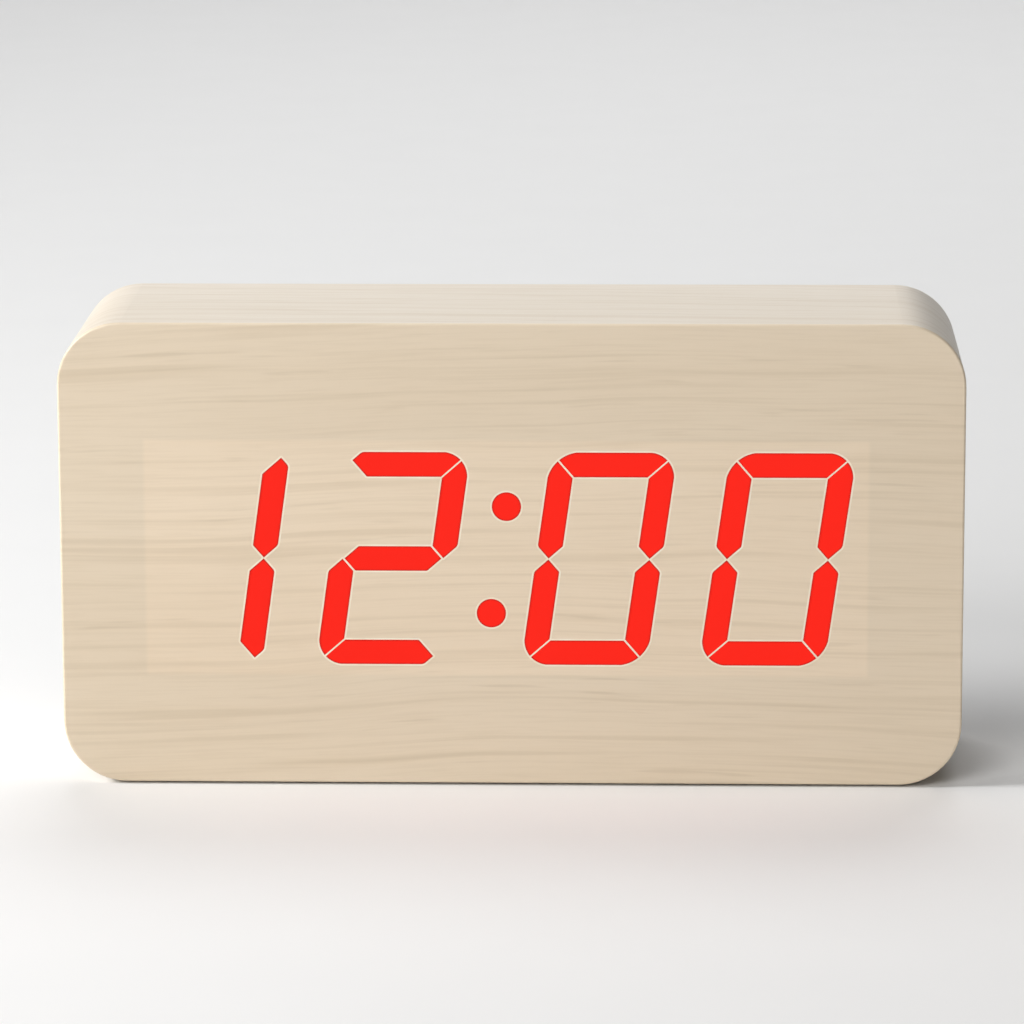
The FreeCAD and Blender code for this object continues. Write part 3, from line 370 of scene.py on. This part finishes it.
def dress_electronics():
    give(circuit_board(), "main_board", "button_board")
    give(moulded("chip_epoxy", srgb(36, 36, 38), srgb(26, 26, 28), 3000, 0.01 * MM, 0.6),
         "microcontroller", "led_drivers", "voltage_regulator", "resistors",
         "switch_bodies", "usb_tongue", "buzzer")
    give(moulded("stem_acetal", srgb(226, 226, 222), srgb(210, 210, 206), 1200, 0.01 * MM, 0.4),
         "set_stem", "up_stem", "down_stem")
    give(moulded("cable_grey", srgb(150, 150, 154), srgb(130, 130, 134), 900, 0.01 * MM, 0.5),
         "ribbon_cable")
    give(moulded("socket_nylon", srgb(226, 220, 200), srgb(212, 206, 186), 900, 0.01 * MM, 0.5),
         "ribbon_sockets")
    give(moulded("wire_red", srgb(190, 30, 26), srgb(160, 22, 20), 900, 0.01 * MM, 0.4), "lead_red")
    give(moulded("wire_black", srgb(34, 34, 34), srgb(24, 24, 24), 900, 0.01 * MM, 0.4), "lead_black")


def dress_metal():
    give(plated("plated_can", srgb(206, 206, 204), srgb(176, 176, 174), 0.32), "crystal", "capacitors")
    give(plated("screw_zinc", srgb(178, 178, 180), srgb(120, 120, 124), 0.34),
         "main_board_screws", "button_board_screws", "rear_screws")
    give(plated("contact_nickel", srgb(206, 203, 196), srgb(168, 164, 156), 0.25),
         "contact_plates", "contact_springs", "switch_domes")
    give(plated("inlet_steel", srgb(196, 196, 198), srgb(150, 150, 154), 0.3), "usb_shell")
    give(cell_sleeve(), "cell_bottom", "cell_middle", "cell_top")


# ---------------------------------------------------------------- stage, light, camera

def sweep_profile(front, depth, bend, rise, steps=16):
    """Side view of the sweep, as (y, z) places: flat, a quarter circle, then upright."""
    profile = [(front, 0.0), (depth, 0.0)]
    for step in range(1, steps + 1):
        angle = step * math.pi / (2 * steps)
        profile.append((depth + bend * math.sin(angle), bend - bend * math.cos(angle)))
    profile.append((depth + bend, rise))
    return profile


def stage_floor():
    """Seamless sweep: flat floor that curves up far behind the clock."""
    half_width = 2.5
    profile = sweep_profile(front=-2.5, depth=1.2, bend=0.6, rise=1.6)
    verts = [(side * half_width, y, z) for y, z in profile for side in (-1, 1)]
    faces = [(2 * i, 2 * i + 1, 2 * i + 3, 2 * i + 2) for i in range(len(profile) - 1)]
    mesh = bpy.data.meshes.new("floor")
    mesh.from_pydata(verts, [], faces)
    mesh.shade_smooth()
    floor = bpy.data.objects.new("floor", mesh)
    bpy.context.scene.collection.objects.link(floor)
    look = Look("floor_paper", roughness=0.9, specular=0.1)
    fleck = look.noise(look.scaled((40, 40, 40)), detail=2)
    look.colour(look.mix(fleck, srgb(239, 239, 239), srgb(237, 237, 237)))
    mesh.materials.append(look.material)


def area_light(name, place, aim, size, power, colour):
    """Round soft light at place, pointing at aim."""
    data = bpy.data.lights.new(name, "AREA")
    data.shape = "DISK"
    data.size = size
    data.energy = power
    data.color = colour
    light = bpy.data.objects.new(name, data)
    light.location = place
    light.rotation_euler = (Vector(aim) - Vector(place)).to_track_quat("-Z", "Y").to_euler()
    bpy.context.scene.collection.objects.link(light)


def studio_light():
    """Large soft light from the left, a weaker one in front, and one over the backdrop."""
    world = bpy.data.worlds.new("studio")
    world.use_nodes = True
    world.node_tree.nodes["Background"].inputs["Color"].default_value = (0.98, 0.99, 1.0, 1)
    world.node_tree.nodes["Background"].inputs["Strength"].default_value = 0.035
    bpy.context.scene.world = world
    area_light("key", (-0.8, -0.14, 0.5), (0, 0, 0.03), 0.32, 7.9, (1.0, 0.995, 0.985))
    area_light("fill", (-0.45, -1.1, 0.7), (0, 0, 0.04), 0.7, 8.1, (1.0, 0.995, 0.99))
    area_light("back", (0.05, 0.9, 1.2), (0.05, 0.95, 0.0), 1.0, 9.9, (1.0, 1.0, 1.0))


def camera():
    """Long lens, a little above the clock and just right of its middle."""
    turn = math.radians(1.947)
    lift = math.radians(11.917)
    roll = math.radians(-0.2)
    distance = 0.9
    target = Vector((-0.476 * MM, 0.0, 42.582 * MM))
    back = Vector((math.sin(turn) * math.cos(lift), -math.cos(turn) * math.cos(lift), math.sin(lift)))
    data = bpy.data.cameras.new("camera")
    data.lens = 186.77
    data.sensor_width = 36
    data.clip_start = 0.05
    data.clip_end = 20
    view = bpy.data.objects.new("camera", data)
    view.location = target + distance * back
    view.rotation_euler = ((-back).to_track_quat("-Z", "Y") @ Quaternion((0, 0, 1), roll)).to_euler()
    bpy.context.scene.collection.objects.link(view)
    bpy.context.scene.camera = view
    bpy.context.scene.view_settings.view_transform = "Standard"


dress_shell()
dress_display()
dress_electronics()
dress_metal()
stage_floor()
studio_light()
camera()
